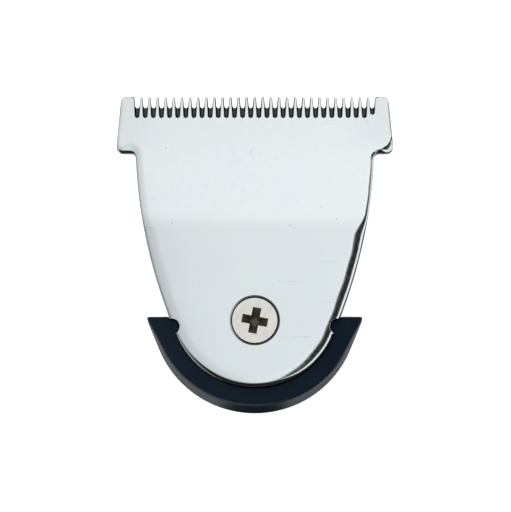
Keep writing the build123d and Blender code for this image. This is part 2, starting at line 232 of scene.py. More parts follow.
# Dull outer part of the roll, which also takes the painted shade and reflection of the steep sides: how far
# up the normal points where it starts, by place; its blur and roughness
DULL_SHADE_LEFT = 0.87
DULL_SHADE_FRONT = 0.945
DULL_SHADE_RIGHT = 0.81
DULL_SHADE_LEDGE = 0.94
DULL_SHADE_CORNER = 0.75
DULL_SHADE_HEAD = 0.95
DULL_SHADE_BLUR = 0.04
DULL_ROUGH = 0.25

# Where the dull part with its painted shade changes, in millimetres: left to right, body to head, ledge to
# corner, up the side
RIGHT_CHANGE = (3.0, 7.0)
HEAD_CHANGE = (NECK_HALF, NECK_HALF + 0.6)
LEDGE_CHANGE = (HEAD_HALF - 1.6, HEAD_HALF - 0.9)
SIDE_CHANGE = 1.0

# Parts of the normal at which a surface counts as facing front, leaning left or an outer wall
FRONT_FACING = (-0.2, -0.3)
LEFT_LEAN = (-0.55, -0.3)
WALL_LEVEL = (0.3, 0.1)
WALL_FACING = (-0.6, -0.2)

# Where tones change below the tips, in millimetres: the painted shade on the tooth flanks, the comb, the
# head's ends and low left
FLANK_CHANGE = (1.2, 0.1)
COMB_CHANGE = (9.0, 2.0)
END_CHANGE = (7.5, 5.5)
LOW_CHANGE = (14.0, 17.0)

# Where tones change across, in millimetres: the head's ends, the left of the body and the countersink
END_ACROSS = (HEAD_HALF - 6.0, HEAD_HALF - 2.0)
LOW_ACROSS = (-11.0, -3.0)
SINK_ACROSS = (-2.7, -1.4)

# Distances from the screw axis at which the countersink starts, and at which its shade beside the screw ends
SINK_RIM = (SINK_RADIUS - 0.02, SINK_RADIUS + 0.01)
SINK_INNER = (SINK_RADIUS - 0.2, SINK_RADIUS - 0.12)

# Margin of the comb below its roots, and how soon its tone takes over
COMB_MARGIN = 0.4
COMB_BLUR = 0.1

# Painted shade on the cutter: how far aside of a gap's middle, as a share of the pitch, and how far above the
# roots
SHADE_ASIDE = (0.06, 0.2)
SHADE_ROOT = (0.35, 0.15)

# Painted shade on the screw, in its recess by depth and, under its head, by distance from the axis
SHADE_DEPTH = (0.03, 0.1)
SHADOW_RADIUS = (2.2, 2.4)

# Carrier: half the width over which painted light pales it to the left and by how much, the normals of its
# painted edge highlight, its gloss
LIGHT_FALL_HALF = 12.0
LIGHT_FALL_SHIFT = 0.3
HIGHLIGHT_LEVEL = 0.7
HIGHLIGHT_BLUR = (0.15, 0.05)
CARRIER_GLOSS = 0.08

# Specks and scratches: cells to a millimetre, share of a cell, chances and noise that give one, and strength
SPECK_CELLS = 0.2
SPECK_SIZE = (0.024, 0.01)
SPECK_CHANCE = (0.35, 1.0)
SPECK_STRENGTH = 0.7
SCRATCH_RANGE = (0.76, 0.80)
SCRATCH_STRENGTH = 0.25

# Roughness between two ends, by each surface's noise; the carrier's from its sides to its front, and by grain
NICKEL_ROUGH = (0.12, 0.2)
CUTTER_ROUGH = (0.28, 0.45)
CARRIER_ROUGH = (0.54, 0.36)
CARRIER_GRAIN = (-0.05, 0.05)
SCREW_ROUGH = (0.2, 0.34)
ACETAL_ROUGH = (0.36, 0.5)
WIRE_ROUGH = (0.22, 0.4)

# Usual range of noise, and the grain that runs one way, as factors for each axis
NOISE_LOW = 0.3
NOISE_HIGH = 0.7
SCRATCH_GRAIN = (0.09, 2.6, 0.4)
CUTTER_GRAIN = (0.6, 9.0, 9.0)
WIRE_GRAIN = (8.0, 0.5, 8.0)

Edge = namedtuple("Edge", "points inward reach")


def add(tree, kind, inputs=None, **settings):
    """A node with its settings; each input is set to a value, or linked to another node's output."""
    made = tree.nodes.new(kind)
    for name, value in settings.items():
        setattr(made, name, value)
    for name, value in (inputs or {}).items():
        socket = made.inputs[name]
        if isinstance(value, bpy.types.NodeSocket):
            tree.links.new(value, socket)
        else:
            socket.default_value = value
    return made


def calc(tree, operation, first, second=0.0, clamp=False):
    """One step of arithmetic between sockets or numbers."""
    made = add(tree, "ShaderNodeMath", {0: first, 1: second}, operation=operation, use_clamp=clamp)
    return made.outputs[0]


def span(tree, value, low, high, to_low=0.0, to_high=1.0):
    """A value stretched from one range to another, held at both ends."""
    ends = {"From Min": low, "From Max": high, "To Min": to_low, "To Max": to_high}
    return add(tree, "ShaderNodeMapRange", {"Value": value, **ends}).outputs[0]


def ramp(tree, factor, stops):
    """A ramp through stops of a place and a level or colour."""
    made = add(tree, "ShaderNodeValToRGB", {"Fac": factor})
    places = made.color_ramp.elements
    while len(places) < len(stops):
        places.new(1.0)
    for element, (place, level) in zip(places, stops):
        element.position = place
        element.color = (*np.broadcast_to(level, 3), 1.0)
    return made.outputs["Color"]


def mixed(tree, factor, first, second, blend="MIX"):
    """Two colours mixed by a factor."""
    made = add(tree, "ShaderNodeMix", {0: factor, 6: first, 7: second}, data_type="RGBA", blend_type=blend)
    return made.outputs[2]


def blended(tree, factor, first, second):
    """Two values mixed by a factor."""
    return add(tree, "ShaderNodeMix", {0: factor, 2: first, 3: second}).outputs[0]


def split(tree, vector):
    """The three parts of a vector."""
    made = add(tree, "ShaderNodeSeparateXYZ", {0: vector})
    return [made.outputs[axis] for axis in "XYZ"]


def millimetres(tree):
    """Object coordinates in millimetres."""
    place = add(tree, "ShaderNodeTexCoord").outputs["Object"]
    return add(tree, "ShaderNodeVectorMath", {0: place, "Scale": 1 / MM}, operation="SCALE").outputs[0]


def stretched(tree, vector, scale):
    """Coordinates scaled by their own factor on each axis, for grain that runs one way."""
    return add(tree, "ShaderNodeVectorMath", {0: vector, 1: scale}, operation="MULTIPLY").outputs[0]


def noise(tree, vector, scale, detail=2.0):
    """Cloudy noise about 0.5, with this many clouds to a millimetre."""
    made = add(tree, "ShaderNodeTexNoise", {"Vector": vector, "Scale": scale, "Detail": detail})
    return made.outputs[0]


def noise_span(tree, value, to_low=0.0, to_high=1.0):
    """Noise stretched from its usual range to another."""
    return span(tree, value, NOISE_LOW, NOISE_HIGH, to_low, to_high)


def feed(tree, shader, **inputs):
    """Links outputs to a shader's inputs, named with _ for a space."""
    for name, value in inputs.items():
        tree.links.new(value, shader.inputs[name.replace("_", " ")])


def bump(tree, shader, height, strength, distance):
    """Fine relief, with its height in millimetres at full strength."""
    made = add(tree, "ShaderNodeBump", {"Height": height, "Strength": strength, "Distance": distance * MM})
    feed(tree, shader, Normal=made.outputs[0])


def new_material(name, colour, metallic, roughness):
    """A node material with its plain values set on its shader."""
    material = bpy.data.materials.new(name)
    material.use_nodes = True
    tree = material.node_tree
    tree.nodes.clear()
    plain = {"Base Color": colour, "Metallic": metallic, "Roughness": roughness}
    shader = add(tree, "ShaderNodeBsdfPrincipled", plain)
    add(tree, "ShaderNodeOutputMaterial", {"Surface": shader.outputs[0]})
    return material, tree, shader


def smooth(value, low, high):
    """Zero below low, one above high, eased between."""
    t = np.clip((value - low) / (high - low), 0, 1)
    return t * t * (3 - 2 * t)


def arc(centre, radius, start, end):
    """Points along an arc, about one step apart."""
    count = max(ARC_STEPS, math.ceil(abs(end - start) * radius / STEP)) + 1
    angle = np.linspace(start, end, count)
    return np.array(centre) + radius * np.column_stack([np.cos(angle), np.sin(angle)])


def straight(first, last):
    """Points along a line, about one step apart."""
    first, last = np.array(first), np.array(last)
    count = max(1, math.ceil(np.linalg.norm(last - first) / STEP)) + 1
    return first + np.linspace(0, 1, count)[:, None] * (last - first)


def rounded(before, corner, after, radius):
    """Points along a rounded corner between two straight lines."""
    corner = np.array(corner)
    a = np.array(before) - corner
    b = np.array(after) - corner
    a, b = a / np.linalg.norm(a), b / np.linalg.norm(b)
    half = math.acos(a @ b) / 2
    centre = corner + (a + b) / np.linalg.norm(a + b) * radius / math.sin(half)
    first = corner + a * radius / math.tan(half) - centre
    last = corner + b * radius / math.tan(half) - centre
    start = math.atan2(first[1], first[0])
    turn = (math.atan2(last[1], last[0]) - start + math.pi) % (2 * math.pi) - math.pi
    return arc(centre, radius, start, start + turn)


def side_arc():
    """Centre, radius and end angle of the long side arc between the round end and the neck."""
    start = np.array([END_RADIUS * math.cos(SIDE_ANGLE), END_Y - END_RADIUS * math.sin(SIDE_ANGLE)])
    inward = np.array([-math.cos(SIDE_ANGLE), math.sin(SIDE_ANGLE)])
    chord = np.array([NECK_HALF, SHOULDER_Y]) - start
    radius = chord @ chord / (2 * inward @ chord)
    centre = start + radius * inward
    return centre, radius, math.asin((SHOULDER_Y - centre[1]) / radius)


def joined(*runs):
    """Runs of points end to end, without the points that two of them share."""
    points = np.concatenate(runs)
    apart = np.linalg.norm(np.diff(points, axis=0), axis=1) > SAME_POINT
    return points[np.concatenate([[True], apart])]


def rolled_edge():
    """Right half of the rolled edge, from the low point round the head's side to the comb."""
    centre, radius, end = side_arc()
    low = arc((0, END_Y), END_RADIUS, -math.pi / 2, -SIDE_ANGLE)
    side = arc(centre, radius, -SIDE_ANGLE, end)
    neck = (NECK_HALF, SHOULDER_Y)
    side = side[np.linalg.norm(side - np.array(neck), axis=1) > NECK_FILLET]
    lean = np.array(neck) - (-math.sin(end), math.cos(end))
    ledge_end = (HEAD_HALF, SHOULDER_Y)
    tip = (HEAD_TIP_HALF, TIP_Y)
    inner = rounded(lean, neck, ledge_end, NECK_FILLET)
    outer = rounded(neck, ledge_end, tip, LOW_CORNER)
    top = rounded(ledge_end, tip, (0, TIP_Y), TOP_CORNER)
    comb_end = (GAP_COUNT * PITCH / 2, TIP_Y)
    ledge = straight(inner[-1], outer[0])
    head_side = straight(outer[-1], top[0])
    return joined(low, side, inner, ledge, outer, head_side, top, straight(top[-1], comb_end))


def inward_normals(points):
    """Unit normals that point to the left of a run of points."""
    along = np.gradient(points, axis=0)
    along /= np.linalg.norm(along, axis=1)[:, None]
    return np.column_stack([-along[:, 1], along[:, 0]])


def roll_reach(points, face, ledge, corner, wave):
    """How far the rolled edge reaches in at points of the right outline."""
    x, y = points[:, 0], points[:, 1]
    turn = 2 * math.pi * (y - WAVE_Y) / WAVE_LENGTH
    body = BODY_ROLL + (face - BODY_ROLL) * smooth(y, *ROLL_CHANGE)
    body *= 1 + wave * (np.sin(turn) + SLOW_SHARE * np.sin(SLOW_RATE * turn))
    at_ledge = np.exp(-(((y - SHOULDER_Y) / LOW_CORNER) ** 2))
    at_corner = np.exp(-((x - HEAD_HALF) ** 2 + (y - SHOULDER_Y) ** 2) / CORNER_REACH**2)
    head = HEAD_ROLL + (ledge - HEAD_ROLL) * at_ledge + (corner - ledge) * at_corner
    head += (TIP_ROLL - HEAD_ROLL) * smooth(y, TIP_Y - 2 * TOP_CORNER, TIP_Y)
    return body + (head - body) * smooth(x, *NECK_CHANGE)


def edge_table():
    """The rolled edge on both sides: its points, their inward normals and the reach of the roll at each."""
    right = rolled_edge()
    normals = inward_normals(right)
    normals[0] = (0, 1)
    points = np.concatenate([right, right * MIRROR])
    inward = np.concatenate([normals, normals * MIRROR])
    reach = np.concatenate([roll_reach(right, **RIGHT_ROLL), roll_reach(right, **LEFT_ROLL)])
    return Edge(points, inward, reach)


def face_height(y):
    """Height and slope of the face along the length: level, a soft bend, then the ground fall to the tips."""
    along = y - BEND_Y + BEND_RADIUS * math.tan(FALL / 2)
    bent = np.clip(along, 0, BEND_RADIUS * math.sin(FALL))
    centre_up = np.sqrt(BEND_RADIUS**2 - bent**2)
    past = np.maximum(along - bent, 0)
    return FRONT_Z - (BEND_RADIUS - centre_up) - past * math.tan(FALL), -bent / centre_up


def from_edge(points, edge):
    """Distance of each point from the rolled edge and the index of the nearest edge point."""
    away = np.linalg.norm(points[:, None] - edge.points[None], axis=2)
    near = away.argmin(axis=1)
    return away[np.arange(len(points)), near], near


def depth_inside(points, near, edge):
    """How far points lie inside the rolled edge, along the normal of their nearest edge point."""
    return (edge.inward[near] * (points - edge.points[near])).sum(axis=1)


def rolled(away, reach, thickness):
    """Drop and lean of a rolled edge at distances from its outline, held to its share of the thickness."""
    inner = np.clip(reach - away, 0, ROLL_ROUND * reach)
    across = np.sqrt(reach**2 - inner**2)
    flat = np.minimum(ROLL_HEIGHT, ROLL_DEPTH * thickness / reach)
    return flat * (reach - across), flat * inner / across


def notch_centre():
    """Centre of the right notch, whose depth is measured from the side arc."""
    centre, radius, _ = side_arc()
    side_x = centre[0] + math.sqrt(radius**2 - (NOTCH_Y - centre[1]) ** 2)
    return np.array([side_x - NOTCH_DEPTH + NOTCH_RADIUS, NOTCH_Y])


def notch_roll(points):
    """Drop, lean and inward direction of the small roll round the nearer notch."""
    side = np.sign(points[:, :1])
    to_right = np.hstack([side, np.ones_like(side)])
    outward = points * to_right - notch_centre()
    away = np.linalg.norm(outward, axis=1)
    drop, lean = rolled(np.maximum(away - NOTCH_RADIUS, 0), NOTCH_ROLL, FRONT_Z - BACK_Z)
    return drop, lean, outward / away[:, None] * to_right


def sag_centre():
    """Centre of the circle outside which the head's lower right corner sags."""
    return np.array([HEAD_HALF - SAG_IN, SHOULDER_Y + SAG_UP])


def corner_sag(points):
    """Drop and slope where the head's lower right corner sags."""
    outward = points - sag_centre()
    away = np.linalg.norm(outward, axis=1)
    past = np.maximum(away - SAG_RADIUS, 0)
    share = smooth(outward[:, 0], *SAG_RIGHT) * smooth(-outward[:, 1], *SAG_BELOW)
    drop = SAG_START * past + SAG_GROWTH * past**2 / 2
    lean = SAG_START * np.minimum(past / SAG_RINGS[1], 1) + SAG_GROWTH * past
    return share * drop, -outward * (share * lean / np.maximum(away, SAG_RADIUS))[:, None]


def front_surface(points, edge):
    """Places and normals of the plate's front over flat points."""
    away, near = from_edge(points, edge)
    inward, roll = edge.inward[near], edge.reach[near]
    height, slope = face_height(points[:, 1])
    drop, lean = rolled(away, roll, height - BACK_Z)
    crown = np.clip(1 - away / (CROWN_WIDTH * roll), 0, 1)
    depth = CROWN_DEPTH * (1 - CROWN_LOSS * smooth(points[:, 1], *CROWN_CHANGE))
    drop += depth * roll * crown**3
    lean += 3 * depth / CROWN_WIDTH * crown**2
    notch_drop, notch_lean, notch_inward = notch_roll(points)
    at_notch = (notch_drop > drop)[:, None]
    rise = np.where(at_notch, notch_lean[:, None] * notch_inward, lean[:, None] * inward)
    sag_drop, sag_rise = corner_sag(points)
    rise += sag_rise
    drop = np.maximum(drop, notch_drop) + sag_drop
    normals = np.column_stack([-rise[:, 0], -slope - rise[:, 1], np.ones(len(points))])
    return np.column_stack([points, height - drop]), normals / np.linalg.norm(normals, axis=1)[:, None]


def notched(points):
    """The right edge with its round locating notch."""
    centre = notch_centre()
    away = np.linalg.norm(points - centre, axis=1) - NOTCH_RADIUS
    inside = np.where(away < 0)[0]
    angles = []
    for out, into in ((inside[0] - 1, inside[0]), (inside[-1] + 1, inside[-1])):
        share = away[out] / (away[out] - away[into])
        spot = points[out] + share * (points[into] - points[out]) - centre
        angles.append(math.atan2(spot[1], spot[0]))
    turn = (angles[0] - angles[1]) % (2 * math.pi)
    notch = arc(centre, NOTCH_RADIUS, angles[0], angles[0] - turn)
    return joined(points[: inside[0]], notch, points[inside[-1] + 1 :])


def tooth_gap(depth):
    """One tooth gap, from its right mouth round its root to its left, at the back and at the wider front."""
    root_y = TIP_Y - depth + GAP_ROOT_HALF
    mouth = np.array([(PITCH / 2 - LAND_HALF, TIP_Y)])
    flank = straight((GAP_TIP_HALF, TIP_Y - POINT_LENGTH), (GAP_ROOT_HALF, root_y))
    root = arc((0, root_y), GAP_ROOT_HALF, 0, -math.pi / 2)
    half = joined(mouth, flank, root)
    opening = np.tile([1.0, 0.0], (len(half), 1))
    opening[1 - len(root) :] = (root[1:] - (0, root_y)) / GAP_ROOT_HALF
    thickness = face_height(half[:, 1])[0] - BACK_Z
    front = half + opening * (GAP_DRAFT * thickness)[:, None]
    return [np.concatenate([side, side[-2::-1] * MIRROR]) for side in (half, front)]


def outlines():
    """The whole outline at the back and at the front, anticlockwise, point for point."""
    right = notched(rolled_edge())
    left = right[:0:-1] * MIRROR
    middle = (GAP_COUNT - 1) / 2
    loops = []
    for gap, last_gap in zip(tooth_gap(GAP_DEPTH), tooth_gap(LAST_GAP_DEPTH)):
        comb = [gap + ((middle - index) * PITCH, 0) for index in range(1, GAP_COUNT)]
        loops.append(np.concatenate([right, last_gap + (middle * PITCH, 0), *comb, left]))
    return loops


def ring(radius):
    """Points round the screw hole."""
    angle = np.linspace(0, 2 * math.pi, HOLE_SIDES, endpoint=False)
    return radius * np.column_stack([np.cos(angle), np.sin(angle)])


def edge_rings(edge):
    """Points on rings that follow the rolled edge, without those that come too near to another part of it."""
    reach = np.concatenate([share * edge.reach for share in RINGS])
    rings = np.concatenate([edge.points + edge.inward * (share * edge.reach)[:, None] for share in RINGS])
    return rings[from_edge(rings, edge)[0] > RING_SHARE * reach]


def face_grid(edge):
    """Points of a grid inside the rings, with close rows over the bend."""
    bend = np.linspace(BEND_Y - BEND_SPREAD, BEND_Y + BEND_SPREAD, BEND_ROWS)
    rows = np.concatenate([np.arange(GRID_START, TIP_Y, GRID_STEP), bend])
    columns = np.arange(-HEAD_HALF, HEAD_HALF, GRID_STEP)
    grid = np.array([(x, y) for y in rows for x in columns])
    away, near = from_edge(grid, edge)
    inside = depth_inside(grid, near, edge) > 0
    return grid[inside & (away > RINGS[-1] * edge.reach[near])]


def inside_rings(centre, radius, gaps, angles, edge):
    """Points on close arcs round a centre that lie inside the plate, clear of its edge."""
    rings = np.concatenate([arc(centre, radius + gap, *angles) for gap in gaps])
    away, near = from_edge(rings, edge)
    inside = depth_inside(rings, near, edge) > EDGE_ROOM
    return rings[inside & (away > EDGE_ROOM)]


def free_of_cuts(points):
    """True for points clear of the comb, the notches and the screw hole."""
    x, y = np.abs(points[:, 0]), points[:, 1]
    root_y = TIP_Y - GAP_DEPTH
    comb = (y > root_y - COMB_ROOM) & (x < GAP_COUNT * PITCH / 2 + LAND_HALF)
    from_notch = np.linalg.norm(np.column_stack([x, y]) - notch_centre(), axis=1)
    notch = from_notch < NOTCH_RADIUS + NOTCH_RINGS[-1]
    hole = np.linalg.norm(points, axis=1) < SINK_RADIUS + SINK_ROOM
    return ~(comb | notch | hole)


def face_points(edge):
    """Points inside the plate: rings along the edge, a grid, and arcs round the notches and the sag."""
    points = np.concatenate([edge_rings(edge), face_grid(edge)])
    points = points[free_of_cuts(points)]
    notch = inside_rings(notch_centre(), NOTCH_RADIUS, NOTCH_RINGS, NOTCH_SECTOR, edge)
    sag = inside_rings(sag_centre(), SAG_RADIUS, SAG_RINGS, SAG_SECTOR, edge)
    return np.concatenate([points, notch, notch * MIRROR, sag])


def filled(loops, points):
    """Triangles that fill the space inside the first loop and outside the others, through given points."""
    spots = [Vector(spot) for spot in np.concatenate([*loops, points])]
    rounds = []
    start = 0
    for loop in loops:
        rounds.append(list(range(start, start + len(loop))))
        start += len(loop)
    made, _, faces, _, _, sources = delaunay_2d_cdt(spots, [], rounds, FILL_INSIDE, FILL_MARGIN, True)
    kept = [tuple(face) for face, source in zip(faces, sources) if list(source) == [0]]
    return np.array([tuple(spot) for spot in made]), kept


def band(count, first, second):
    """Quads between two closed rings of points."""
    quads = []
    for index in range(count):
        after = (index + 1) % count
        quads.append((first + index, first + after, second + after, second + index))
    return quads


class MeshParts:
    """Points, faces and normals gathered piece by piece; a zero normal is left to the mesh."""

    def __init__(self):
        self.points, self.faces, self.normals, self.soft = [], [], [], []

    def add(self, points, faces, normals=None, soft=False):
        """Adds points and the faces between them, counted from the first of these points."""
        start = sum(len(part) for part in self.points)
        self.points.append(points)
        self.normals.append(np.zeros_like(points) if normals is None else normals)
        self.faces += [tuple(start + corner for corner in face) for face in faces]
        self.soft += [soft] * len(faces)

    def mesh(self, name, shift):
        """All of it as one mesh in metres, moved by a shift in millimetres."""
        made = bpy.data.meshes.new(name)
        made.from_pydata(((np.concatenate(self.points) + shift) * MM).tolist(), [], self.faces)
        made.polygons.foreach_set("use_smooth", self.soft)
        made.normals_split_custom_set_from_vertices(np.concatenate(self.normals).tolist())
        made.update()
        return made


def at_height(points, height):
    """Flat points raised to one height."""
    return np.column_stack([points, np.full(len(points), height)])


def build_plate(shift):
    """The comb plate with its rolled edge, soft bend, drafted tooth gaps, notches and countersunk hole."""
    edge = edge_table()
    back, front = outlines()
    sink, hole = ring(SINK_RADIUS), ring(HOLE_RADIUS)
    parts = MeshParts()
    spots, faces = filled([front, sink], face_points(edge))
    places, normals = front_surface(spots, edge)
    parts.add(places, faces, normals, soft=True)
    rim = front_surface(front, edge)[0]
    parts.add(np.concatenate([at_height(back, BACK_Z), rim]), band(len(back), 0, len(back)))
    cone_low = at_height(hole, FRONT_Z - SINK_RADIUS + HOLE_RADIUS)
    round_band = band(HOLE_SIDES, 0, HOLE_SIDES)
    parts.add(np.concatenate([at_height(sink, FRONT_Z), cone_low]), round_band, soft=True)
    parts.add(np.concatenate([cone_low, at_height(hole, BACK_Z)]), round_band, soft=True)
    spots, faces = filled([back, hole], np.zeros((0, 2)))
    parts.add(at_height(spots, BACK_Z), [face[::-1] for face in faces])
    plate = bpy.data.objects.new("comb_plate", parts.mesh("comb_plate", shift))
    bpy.context.scene.collection.objects.link(plate)
    return plate


def by_angle(tree, side, up, stops):
    """Light of the tent by a direction's angle from the zenith toward one side."""
    angle = calc(tree, "ARCTAN2", side, up)
    place = span(tree, angle, math.radians(-HORIZON), math.radians(HORIZON))
    return ramp(tree, place, [((degrees + HORIZON) / (2 * HORIZON), level) for degrees, level in stops])


def length(tree, x, y):
    """Length of a flat vector."""
    squares = calc(tree, "ADD", calc(tree, "MULTIPLY", x, x), calc(tree, "MULTIPLY", y, y))
    return calc(tree, "SQRT", squares)


def past_angle(tree, angle, limit, blur, to_low=0.0, to_high=1.0):
    """Zero before a limit in degrees and one past it, or other values, with a soft change."""
    return span(tree, angle, math.radians(limit - blur), math.radians(limit + blur), to_low, to_high)


def flag(tree, x, y, z):
    """One on the dark flag: past its start on the right, between its ends ahead and in front, not too low."""
    right = calc(tree, "ARCTAN2", x, z)
    ahead = calc(tree, "ARCTAN2", y, z)
    past = past_angle(tree, right, FLAG_START, START_BLUR)
    before = past_angle(tree, ahead, FLAG_AHEAD, AHEAD_BLUR, 1.0, 0.0)
    behind = past_angle(tree, ahead, FLAG_FRONT, FRONT_BLUR)
    limit = math.cos(math.radians(FLAG_LOW))
    above = span(tree, z, limit - LOW_BLUR, limit + LOW_BLUR)
    between = calc(tree, "MULTIPLY", before, behind)
    return calc(tree, "MULTIPLY", calc(tree, "MULTIPLY", past, above), between)


def background_rays(tree):
    """One where a camera, mirror or clear ray sees the background, else zero."""
    path = add(tree, "ShaderNodeLightPath")
    seen = calc(tree, "ADD", path.outputs["Is Camera Ray"], path.outputs["Is Glossy Ray"])
    return calc(tree, "ADD", seen, path.outputs["Is Transmission Ray"], clamp=True)


def build_world():
    """White to the camera; to the object, a tent that darkens to the left, with a dark flag on the right."""
    world = bpy.data.worlds.new("studio")
    bpy.context.scene.world = world
    world.use_nodes = True
    tree = world.node_tree
    tree.nodes.clear()
    x, y, z = split(tree, add(tree, "ShaderNodeTexCoord").outputs["Generated"])
    tent = mixed(tree, 1.0, by_angle(tree, x, z, ACROSS), by_angle(tree, y, z, ALONG), "MULTIPLY")
    light = mixed(tree, flag(tree, x, y, z), tent, (FLAG_LEVEL, FLAG_LEVEL, FLAG_LEVEL, 1.0))
    camera = add(tree, "ShaderNodeLightPath").outputs["Is Camera Ray"]
    colour = mixed(tree, camera, light, WHITE)
    shade = add(tree, "ShaderNodeBackground", {"Color": colour, "Strength": 1.0})
    add(tree, "ShaderNodeOutputWorld", {"Surface": shade.outputs[0]})


def painted_floor_shadow(tree, low_y):
    """One on a painted shadow patch on the floor in front of the round end, which only reflections see."""
    x, y, _ = split(tree, millimetres(tree))
    wide = span(tree, calc(tree, "ABSOLUTE", x), SHADOW_PATCH_HALF - SHADOW_PATCH_BLUR, SHADOW_PATCH_HALF + SHADOW_PATCH_BLUR, 1.0, 0.0)
    deep = span(tree, y, low_y - SHADOW_PATCH_LENGTH, low_y - SHADOW_PATCH_LENGTH + SHADOW_PATCH_BLUR)
    seen = add(tree, "ShaderNodeLightPath").outputs["Is Glossy Ray"]
    return calc(tree, "MULTIPLY", seen, calc(tree, "MULTIPLY", wide, deep))


def build_floor(low_y):
    """Pale floor that stays white to the camera and in reflections, apart from a painted shadow patch in
    reflections, and keeps the shadow.
    """
    bpy.ops.mesh.primitive_plane_add(size=FLOOR_SIZE, location=(0, 0, 0))
    floor = bpy.context.object
    floor.name = "floor"
    material, tree, shader = new_material("floor", FLOOR_COLOUR, metallic=0.0, roughness=FLOOR_ROUGH)
    shader.inputs["Specular IOR Level"].default_value = 0.0
    shader.inputs["Emission Color"].default_value = WHITE
    # painted shadow, seen only in reflections, in front of the round end
    floor_shadow = painted_floor_shadow(tree, low_y)
    bare = calc(tree, "SUBTRACT", 1.0, floor_shadow)
    glow = calc(tree, "MULTIPLY", calc(tree, "MULTIPLY", background_rays(tree), bare), FLOOR_GLOW)
    feed(tree, shader, Base_Color=mixed(tree, floor_shadow, FLOOR_COLOUR, SHADOW_PATCH_COLOUR), Emission_Strength=glow)
    floor.data.materials.append(material)


def build_lamp():
    """Soft overhead lamp that lifts the matt surfaces; the metal shows the tent and not the lamp."""
    lamp = bpy.data.lights.new("soft_lamp", "AREA")
    lamp.shape = "RECTANGLE"
    lamp.size, lamp.size_y = LAMP_SIZE
    lamp.energy = LAMP_POWER
    lit = bpy.data.objects.new("soft_lamp", lamp)
    bpy.context.scene.collection.objects.link(lit)
    lit.location = LAMP_PLACE
    lit.rotation_euler = (*map(math.radians, LAMP_TURN), 0)
    lit.visible_glossy = False
    lit.visible_camera = False


def build_camera():
    """Camera over the part, tilted toward the round end, with the photograph's scale at the plate's front."""
    camera = bpy.data.cameras.new("camera")
    camera.sensor_fit = "HORIZONTAL"
    camera.sensor_width = SENSOR
    camera.lens = LENS
    camera.clip_start = CLIP_START
    camera.clip_end = CLIP_END
    distance = IMAGE_WIDTH * PIXEL_SIZE * LENS / SENSOR
    eye = bpy.data.objects.new("camera", camera)
    bpy.context.scene.collection.objects.link(eye)
    x, y, z = TARGET
    eye.location = (x, y - distance * math.sin(TILT), z + distance * math.cos(TILT))
    eye.rotation_euler = (TILT, 0, 0)
    bpy.context.scene.camera = eye


def from_axis(tree, place, middle_y):
    """Distance from the screw's axis."""
    x, y, _ = split(tree, place)
    along = calc(tree, "SUBTRACT", y, middle_y)
    return length(tree, x, along)


def dull_shade_start(tree, place, facing, tips_y):
    """How far up the normal points where the roll turns dull and takes its painted shade: far in front, least
    at the head's corner.
    """
    x, y, _ = split(tree, place)
    side_y = tips_y - TIP_Y + SHOULDER_Y + LOW_CORNER
    ledge = span(tree, x, *LEDGE_CHANGE, DULL_SHADE_LEDGE, DULL_SHADE_CORNER)
    head = blended(tree, span(tree, y, side_y, side_y + SIDE_CHANGE), ledge, DULL_SHADE_HEAD)
    right = blended(tree, span(tree, x, *HEAD_CHANGE), DULL_SHADE_RIGHT, head)
    left = span(tree, facing, *FRONT_FACING, DULL_SHADE_LEFT, DULL_SHADE_FRONT)
    return blended(tree, span(tree, x, *RIGHT_CHANGE), left, right)


def below_tips(tree, y, tips_y, change, to_low=0.0, to_high=1.0):
    """A value that changes between two distances below the tips."""
    return span(tree, y, tips_y - change[0], tips_y - change[1], to_low, to_high)


def steep_sides(tree, place, tips_y):
    """How far a surface is a stamped side (wall, tooth flank or outer part of the roll), and its tone as
    painted shade and reflection: grey where it leans left and on most walls, near black where it leans right,
    darkest deep in the tooth gaps.
    """
    lean, facing, level = split(tree, add(tree, "ShaderNodeTexCoord").outputs["Normal"])
    y = split(tree, place)[1]
    above_start = calc(tree, "SUBTRACT", level, dull_shade_start(tree, place, facing, tips_y))
    steep = span(tree, above_start, 0.0, -DULL_SHADE_BLUR)
    wall = calc(tree, "MULTIPLY", span(tree, level, *WALL_LEVEL), span(tree, facing, *WALL_FACING))
    # painted reflection: grey where the roll leans left, near black where it leans right; walls take the grey
    roll = span(tree, lean, *LEFT_LEAN, SIDE_SHADE_LEFT, SIDE_SHADE_RIGHT)
    tone = blended(tree, wall, roll, SIDE_SHADE_LEFT)
    comb_y = tips_y - GAP_DEPTH - COMB_MARGIN
    comb = span(tree, y, comb_y, comb_y + COMB_BLUR)
    # painted shade on the tooth flanks, darkest deep in the gaps
    flank = below_tips(tree, y, tips_y, FLANK_CHANGE, FLANK_SHADE, FLANK_TIP_SHADE)
    return steep, blended(tree, comb, tone, flank)


def specks(tree, place):
    """Sparse small pits, some stronger than others."""
    spread = {"Vector": place, "Scale": SPECK_CELLS}
    cells = add(tree, "ShaderNodeTexVoronoi", spread, voronoi_dimensions="2D")
    chance = split(tree, cells.outputs["Color"])[0]
    pits = span(tree, cells.outputs["Distance"], *SPECK_SIZE)
    return calc(tree, "MULTIPLY", pits, span(tree, chance, *SPECK_CHANCE, 0.0, SPECK_STRENGTH))


def scratches(tree, place):
    """A few long scratches across, at their strength."""
    lines = noise(tree, stretched(tree, place, SCRATCH_GRAIN), scale=1.0, detail=1.0)
    return span(tree, lines, *SCRATCH_RANGE, 0.0, SCRATCH_STRENGTH)


